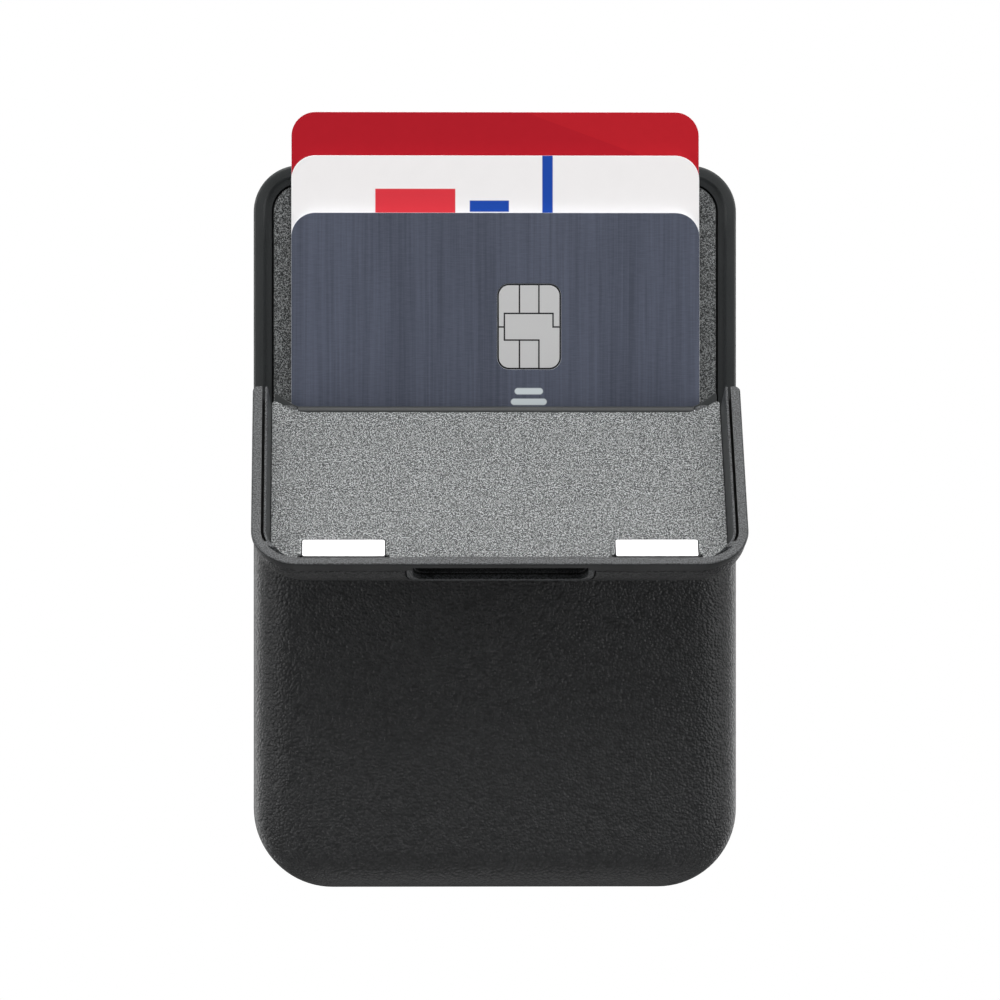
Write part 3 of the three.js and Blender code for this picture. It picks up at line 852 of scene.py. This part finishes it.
def leather_rows():
    """Matching sections of a leather skin's outer and inner face, from its back edge to the flat front."""
    side = LEATHER_INSET
    base = LEATHER_BACK + 0.3
    flat = FILLET + 1.0
    fillet = quarter_round(side, base, flat, THICKNESS - 0.03, 16, 2.1)
    outer = [(LEATHER, LEATHER_BACK), (side + 0.2, LEATHER_BACK), (side + 0.05, LEATHER_BACK + 0.05)]
    outer += [(side, LEATHER_BACK + 0.2)]
    outer += fillet
    outer += [(FILLET + 1.8, THICKNESS - 0.01), (FILLET + 3, THICKNESS), (FILLET + 6, THICKNESS)]
    inner = [(LEATHER, base - 0.08 + 0.02 * i) for i in range(4)]
    reach_in, reach_t = FILLET + 0.3, THICKNESS - LEATHER - base
    for i in range(len(fillet)):
        a = math.pi / 2 * i / (len(fillet) - 1)
        inset = LEATHER + reach_in * (1 - math.cos(a))
        inner.append((min(inset, flat), base + reach_t * math.sin(a)))
    inner += [(inset, THICKNESS - LEATHER) for inset, _ in outer[-3:]]
    return outer, inner


def make_front_leather():
    outer, inner = leather_rows()

    def cut(t):
        return HINGE_Z + min(-0.3, -1.6 - (t - HINGE_T))

    hide = skin("front_hide", outer, inner, "lower", cut)
    bevel(hide, 0.12, 3, 55)
    return finish_piece(hide, "wallet", "leather", HIDE, "front_leather")


def make_pins():
    for word in SIDES:
        x0, x1 = node_span(f"hinge_pin_{word}")[0]
        pin = hinge_round(f"pin_{word}", 0.4, x0, x1, 0.1, 32)
        finish_piece(pin, "wallet", "steel", STEEL, f"hinge_pin_{word}")


# ---- door, drawn closed and then turned open ----


DOOR_FLOOR_T = 7.85  # depth of the door's inside
GROOVE = (1.25, 1.65)  # insets of the groove along the door's side rims
SLOT_DEEP = 1.7
SLOT_HALF = 11.25
SLOT_BACK = 4.3
SLOT_FRONT = 6.8
MAGNET_Z = (91.1, 94.06)
MAGNET_X = (14.8, 25.4)
MAGNET_DEEP = 1.2


def door_profile():
    """Section of the door from its inside over the rim to its front, and how many rows are inside."""
    base, rim = DOOR_FLOOR_T, PARTING_T
    inner = [(12, base), (6, base), (2.9, base), (2.55, base - 0.1), (2.42, base - 0.4)]
    inner += [(2.40, 7.2), (2.30, 6.4), (2.02, rim + 0.5), (1.98, rim + 0.2), (1.90, rim + 0.09)]
    inner += [(1.80, rim + 0.06), (1.70, rim + 0.09), (1.62, rim + 0.07), (1.4, rim + 0.02), (0.9, rim)]
    return inner + cover_profile()[2:] + [(12, THICKNESS - UNDER)], len(inner)


def side_groove():
    """Cutter for the groove along the side rims, which fades out short of the door's corners."""
    rim, deep = PARTING_T, PARTING_T + 2.2
    low, high = GROOVE
    section = [(low, rim - 1), (low + 0.02, deep), (high - 0.02, deep), (high, rim - 1)]
    groove = rail("groove", section, "upper", HINGE_Z - 1)
    fade, end = HEIGHT - 8, HEIGHT - 4
    sides = [(rim - 2, 0), (rim + 3, 0), (rim + 3, fade), (rim - 0.1, end), (rim - 2, end)]
    return combine(groove, bar("sides", sides, -PAST, PAST), "INTERSECT")


def end_slope():
    """Cutter for the slope behind the rim of the door's free end."""
    rim, deep = PARTING_T, PARTING_T + 1.15
    section = [(1.22, rim - 1), (1.24, rim + 0.05), (2.2, deep), (3.2, deep), (3.2, rim - 1)]
    slope = rail("slope", section, "upper", HINGE_Z - 1)
    start = HEIGHT - 3.3
    end = [(rim - 2, HEIGHT + 2), (rim - 2, start), (rim + 0.02, start)]
    end += [(rim + 1.3, HEIGHT - 2), (rim + 1.3, HEIGHT + 2)]
    return combine(slope, bar("end", end, -PAST, PAST), "INTERSECT")


def make_door_frame():
    profile, inner_rows = door_profile()
    tray = end_solid("door_tray", profile, "upper", HINGE_Z + 0.2, 0.7, inner_rows)
    hollow = hinge_round("hollow", 1.1, -NECK_HALF - 0.3, NECK_HALF + 0.3)
    for cutter in (hollow, slot_cutter(), side_groove(), end_slope(), *magnet_wells()):
        combine(tray, cutter, "DIFFERENCE")
    knuckles = []
    for side in (-1, 1):
        knuckle = tapered_knuckle(side)
        behind = prism("behind", rounded_rect(-31, 31, 60, 66, 0.5), DOOR_FLOOR_T - 5, DOOR_FLOOR_T)
        knuckles.append(combine(knuckle, behind, "DIFFERENCE"))
    join(tray, *knuckles)
    paint_shade_on_tray(tray)
    return finish_piece(to_open(tray), "door", "door_plastic", None, "door_frame")


def inset_of(x, z):
    """How far a point lies inside the outline near the door's end."""
    corner_x, corner_z = HALF - TOP_RADIUS, HEIGHT - TOP_RADIUS
    if abs(x) > corner_x and z > corner_z:
        return TOP_RADIUS - math.hypot(abs(x) - corner_x, z - corner_z)
    return min(HALF - abs(x), HEIGHT - z)


def paint_shade_on_tray(tray):
    """Paints shade onto the door tray: the slot and the groove get a near-black plastic, the inner walls the
    darker shell plastic and the outer band a darker plastic, all as painted shade.
    """
    near = 0.01
    for material in (DOOR, RECESS_PAINTED_SHADE, SHELL, BAND_PAINTED_SHADE):
        tray.data.materials.append(material)
    for face in tray.data.polygons:
        x, depth, z = face.center.x / MM, -face.center.y / MM, face.center.z / MM + RING_Z
        inset = inset_of(x, z)
        in_slot = abs(x) < SLOT_HALF + near and SLOT_BACK - 0.05 < depth < SLOT_FRONT + near
        slot = in_slot and 0.9 < inset < SLOT_DEEP + near
        groove = GROOVE[0] - near < inset < GROOVE[1] + near and depth > PARTING_T + 0.3
        wall = 1.9 < inset < 2.45 and PARTING_T + 0.5 < depth < 7.7
        band = inset < 0.3 and PARTING_T + 0.1 < depth < LEATHER_BACK
        # Painted shade: the slot and the groove take the near-black plastic.
        if slot or groove:
            face.material_index = 1
        # Painted shade: the inner walls take the darker shell plastic.
        elif wall:
            face.material_index = 2
        # Painted shade: the outer band takes the darker band plastic.
        elif band:
            face.material_index = 3


def tapered_knuckle(side):
    """Round hinge knuckle that narrows towards the nose and follows the rounded side of the cover."""
    rows = [(26.25, 0.62), (26.3, 0.70), (27.0, 0.96), (27.6, 0.96), (28.4, 0.82), (29.1, 0.66), (29.7, 0.5)]
    return turned("knuckle", [(side * x, r) for x, r in rows])


def slot_outline(grow):
    """The nail slot's section in (x, t), square behind and round in front, made larger by grow."""
    half, front = SLOT_HALF + grow, SLOT_FRONT + grow
    back = PARTING_T + 0.5 if grow else SLOT_BACK
    radius = 1.4 + 0.8 * grow
    points = arc(half - radius, front - radius, radius, 0, 90, 10)
    points += arc(radius - half, front - radius, radius, 90, 180, 10)
    return points + [(-half, back), (half, back)]


def slot_cutter():
    return upright("slot", slot_outline(0.0), HEIGHT - SLOT_DEEP, HEIGHT + 1)


def make_slot_border():
    """Plastic border round the nail slot, standing a little under the leather's face."""
    side = 0.04
    fillet = quarter_round(side, LEATHER_BACK, FILLET, THICKNESS + 0.02, 12)
    profile = [(3, 4.0), (side, 4.0)] + fillet + [(FILLET + 3, THICKNESS - 0.06)]
    border = end_solid("slot_border", profile, "upper", HEIGHT - 12)
    combine(border, upright("keep", slot_outline(0.8), HEIGHT - 1.9, HEIGHT + 1), "INTERSECT")
    combine(border, slot_cutter(), "DIFFERENCE")
    bevel(border, 0.1, 3, 50)
    return finish_piece(to_open(border), "door", "door_plastic", DOOR)


def magnet_wells():
    wells = []
    gap = 0.1
    for word in SIDES:
        x0, x1 = node_span(f"door_magnet_{word}")[0]
        z0, z1 = MAGNET_Z[0] - gap, MAGNET_Z[1] + gap
        wells.append(block("well", x0 - gap, x1 + gap, 3, 4.95, z0, z1, 0.3))
    return wells


def make_magnet_bosses():
    bosses = []
    wall, low, front = 0.6, 90.6, 7.8
    for word, well in zip(SIDES, magnet_wells()):
        x0, x1 = node_span(f"door_magnet_{word}")[0]
        back, high = PARTING_T + 0.08, HEIGHT - 1.8
        boss = block("boss", x0 - wall, x1 + wall, back, front, low, high, 0.3, 0.12)
        bosses.append(combine(boss, well, "DIFFERENCE"))
    join(*bosses)
    bosses[0].name = "magnet_bosses"
    return finish_piece(to_open(bosses[0]), "door", "liner_plastic", SPECKLE)


LINER_EDGE = HALF - 2.5
LINER_TOP = HEIGHT - 2.55
LINER_RADIUS = 3.6


def hinge_side():
    """The door floor's edge at the hinge, right half: a rounded corner, then a sweep past the knuckle."""
    edge = LINER_EDGE
    corner = [(edge, -0.45), (edge - 0.08, -0.72), (edge - 0.26, -0.9), (29.0, -0.95)]
    curve = [(29.0, -0.95), (28.6, -0.8), (27.2, 1.0), (25.0, 1.14)]
    steps = 16
    for i in range(1, steps + 1):
        s = i / steps
        weights = ((1 - s) ** 3, 3 * s * (1 - s) ** 2, 3 * s * s * (1 - s), s**3)
        corner.append(tuple(sum(w * p[k] for w, p in zip(weights, curve)) for k in (0, 1)))
    return [(x, HINGE_Z + z) for x, z in corner]


def make_liner():
    """The door's floor, drawn as one outline with a notch round each magnet."""
    x0, x1 = node_span("door_magnet_right")[0]
    gap = 0.7
    notch_in, notch_out, notch_low = x0 - gap, x1 + gap, 90.45
    meets = math.degrees(math.acos((notch_out - LINER_EDGE + LINER_RADIUS) / LINER_RADIUS))
    right = list(reversed(hinge_side()))
    right += arc(LINER_EDGE - LINER_RADIUS, LINER_TOP - LINER_RADIUS, LINER_RADIUS, 0, meets, 16)
    right += [(notch_out, notch_low), (notch_in, notch_low), (notch_in, LINER_TOP)]
    points = right + [(-x, z) for x, z in reversed(right)]
    sheet = prism("door_floor", points, 7.4, 7.75)
    bevel(sheet, 0.08, 2, 50)
    return finish_piece(to_open(sheet), "door", "liner_plastic", SPECKLE, "door_liner")


def make_door_leather():
    outer, inner = leather_rows()
    clearance = 1.25  # round the nose, about the hinge axis

    def cut(t):
        u = t - HINGE_T
        return HINGE_Z + (math.sqrt(clearance**2 - u * u) if abs(u) < clearance else 0.1)

    hide = skin("door_hide", outer, inner, "upper", cut)
    combine(hide, upright("window", slot_outline(0.92), HEIGHT - 6, HEIGHT + 1), "DIFFERENCE")
    bevel(hide, 0.1, 3, 55)
    return finish_piece(to_open(hide), "door", "leather", HIDE, "door_leather")


def make_door_magnets():
    back = PARTING_T + 0.05
    front = back + MAGNET_DEEP
    for word, (x0, x1) in zip(SIDES, both_sides(*MAGNET_X)):
        magnet = block(f"clasp_magnet_{word}", x0, x1, back, front, *MAGNET_Z, 0.28, 0.09)
        finish_piece(to_open(magnet), "door", "magnet", MAGNET, f"door_magnet_{word}")


# ---- cards ----

CARD_RADIUS = 3.18


def make_card(node, print_material, chip_well=None):
    (x0, x1), (t0, t1), (z0, z1) = node_span(node)
    points = rounded_rect(x0, x1, z0, z1, CARD_RADIUS, steps=16)
    card = prism(node + "_sheet", points, t0, t1)
    if chip_well:
        combine(card, chip_well, "DIFFERENCE")
    bevel(card, 0.07, 2, 60)
    card.data.materials.clear()
    card.data.materials.append(print_material)
    card.data.materials.append(CORE)
    for face in card.data.polygons:
        face.material_index = 0 if abs(face.normal.y) > 0.85 else 1
    return finish_piece(card, node, node, None, node)


def chip_outline(margin):
    """The chip's rounded rectangle made larger by margin."""
    (x0, x1), _, (z0, z1) = node_span("card_chip")
    return rounded_rect(x0 - margin, x1 + margin, z0 - margin, z1 + margin, 1.5 + margin)


def make_chip():
    """Contact plate: a dark bed with separate raised contacts. The bed shows as the real dark gaps between
    the contacts, and the ring of it left round the plate is partly painted shadow.
    """
    (x0, x1), (t0, t1), (z0, z1) = node_span("card_chip")
    bed = prism("chip_bed", chip_outline(0.05), t0, t1 - 0.06)
    finish_piece(bed, "card_grey", "chip_metal", dark_gap_and_shade())
    # The plate is drawn in by 0.15 so that a dark ring of the bed shows round it, partly as painted shadow.
    plate = prism("chip_plate", chip_outline(-0.15), t1 - 0.1, t1)
    w, h = x1 - x0, z1 - z0
    line = 0.10  # half width of the gap between two contacts
    left, right = x0 + 0.105 * w, x0 + 0.88 * w
    upper, lower = z1 - 0.345 * h, z1 - 0.66 * h
    one, two = x0 + 0.345 * w, x0 + 0.655 * w
    middle = z1 - 0.505 * h
    grooves = [
        (one, z1 + 1, one, upper), (two, z1 + 1, two, upper), (left, upper, right, upper),
        (left, upper, left, lower), (x0 - 1, middle, left, middle), (right, upper, right, middle),
        (right, middle, x1 + 1, middle), (left, lower, two, lower), (one, lower, one, z0 - 1),
        (two, lower, two, z0 - 1),
    ]
    for ax, az, bx, bz in grooves:
        lo_x, hi_x = min(ax, bx) - line, max(ax, bx) + line
        lo_z, hi_z = min(az, bz) - line, max(az, bz) + line
        cutter = prism("groove", rounded_rect(lo_x, hi_x, lo_z, hi_z, 0.04, steps=2), t1 - 0.2, t1 + 0.2)
        combine(plate, cutter, "DIFFERENCE")
    bevel(plate, 0.02, 2, 50)
    return finish_piece(plate, "card_grey", "chip_metal", chip_look(), "card_chip")


def make_cards():
    tops = {node: node_span(node)[2][1] for node in ("card_red", "card_white", "card_grey")}
    make_card("card_red", red_print(tops["card_red"]))
    make_card("card_white", white_print(tops["card_white"]))
    t0, t1 = node_span("card_chip")[1]
    well = prism("well", chip_outline(0.08), t0 - 0.02, t1 + 1)
    make_card("card_grey", grey_print(), well)
    make_chip()


# ---- hidden pieces keep their CAD meshes ----


def dress_cad_nodes():
    looks = {"ring_magnet": MAGNET, "alignment_magnet": MAGNET, "shield_plate": STEEL}
    looks.update({"card_spring": STEEL, "spring_rivet": STEEL})
    for name, piece in nodes.items():
        for start, material in looks.items():
            if name.startswith(start):
                piece.data.materials.clear()
                piece.data.materials.append(material)


# ---- surroundings ----

LIT_POINT = Vector((0, -0.01, -0.01))


def make_floor_disc():
    bm = bmesh.new()
    steps = 96
    radius, low = 0.16, -0.31
    ring = []
    for i in range(steps):
        a = 2 * math.pi * i / steps
        ring.append(bm.verts.new((radius * math.cos(a), radius * math.sin(a), low)))
    bm.faces.new(ring)
    floor = new_object("floor", bm)
    look = Look("floor_paper", specular=0.2)
    tone = look.noise(40.0, 2.0)
    look.color(look.mix(tone, (0.86, 0.86, 0.86), (0.90, 0.90, 0.90)))
    look.roughness(0.8)
    floor.data.materials.append(look.material)


def make_world():
    """White to the camera, and a faint white light on the object."""
    world = bpy.data.worlds.new("studio")
    world.use_nodes = True
    tree = world.node_tree
    background = tree.nodes["Background"]
    background.inputs["Color"].default_value = (1, 1, 1, 1)
    background.inputs["Strength"].default_value = 0.15
    seen = tree.nodes.new("ShaderNodeBackground")
    seen.inputs["Color"].default_value = (1, 1, 1, 1)
    seen.inputs["Strength"].default_value = 1.0
    path = tree.nodes.new("ShaderNodeLightPath")
    mix = tree.nodes.new("ShaderNodeMixShader")
    tree.links.new(path.outputs["Is Camera Ray"], mix.inputs["Fac"])
    tree.links.new(background.outputs[0], mix.inputs[1])
    tree.links.new(seen.outputs[0], mix.inputs[2])
    tree.links.new(mix.outputs[0], tree.nodes["World Output"].inputs["Surface"])
    bpy.context.scene.world = world


def softbox(name, where, size, power):
    """A rectangular light that faces the middle of the wallet."""
    light = bpy.data.lights.new(name, "AREA")
    light.shape = "RECTANGLE"
    light.size, light.size_y = size
    light.energy = power
    lamp = bpy.data.objects.new(name, light)
    lamp.location = where
    lamp.rotation_euler = (LIT_POINT - Vector(where)).to_track_quat("-Z", "Y").to_euler()
    bpy.context.scene.collection.objects.link(lamp)
    return lamp


def make_lights():
    softbox("overhead", (0.0, -0.05, 0.55), (0.60, 0.60), 3.7)
    softbox("key", (0.0, -0.48, 0.50), (0.55, 0.30), 1.42)
    softbox("left", (-0.44, -0.22, 0.05), (0.16, 0.5), 1.35)
    softbox("right", (0.44, -0.22, 0.05), (0.16, 0.5), 1.45)
    softbox("left_edge", (-0.40, 0.35, 0.02), (0.3, 0.5), 1.55)
    softbox("right_edge", (0.40, 0.35, 0.02), (0.3, 0.5), 1.55)


CAMERA_DISTANCE = 0.895
CAMERA_AZIMUTH = math.radians(-1.35)
CAMERA_ELEVATION = math.radians(0.15)
CAMERA_LENS = 242.0
LOOK_AT = (0.733, 0.0, 51.2)  # in the drawing's millimetres


def make_camera():
    camera = bpy.data.cameras.new("camera")
    camera.sensor_width = 36
    camera.lens = CAMERA_LENS
    camera.clip_start = 0.01
    camera.clip_end = 20
    level = math.cos(CAMERA_ELEVATION)
    across, back = math.sin(CAMERA_AZIMUTH) * level, -math.cos(CAMERA_AZIMUTH) * level
    direction = Vector((across, back, math.sin(CAMERA_ELEVATION)))
    holder = bpy.data.objects.new("camera", camera)
    holder.location = place(*LOOK_AT) + direction * CAMERA_DISTANCE
    holder.rotation_euler = (-direction).to_track_quat("-Z", "Y").to_euler()
    bpy.context.scene.collection.objects.link(holder)
    bpy.context.scene.camera = holder


make_camera()
make_world()
make_lights()
make_floor_disc()

make_rear_shell()
make_back_pad()
make_floor()
make_keepers()
make_front_panel()
make_nose()
make_front_leather()
make_pins()
make_door_frame()
make_slot_border()
make_magnet_bosses()
make_liner()
make_door_leather()
make_door_magnets()
make_cards()
dress_cad_nodes()

bpy.context.scene.view_settings.view_transform = "Standard"
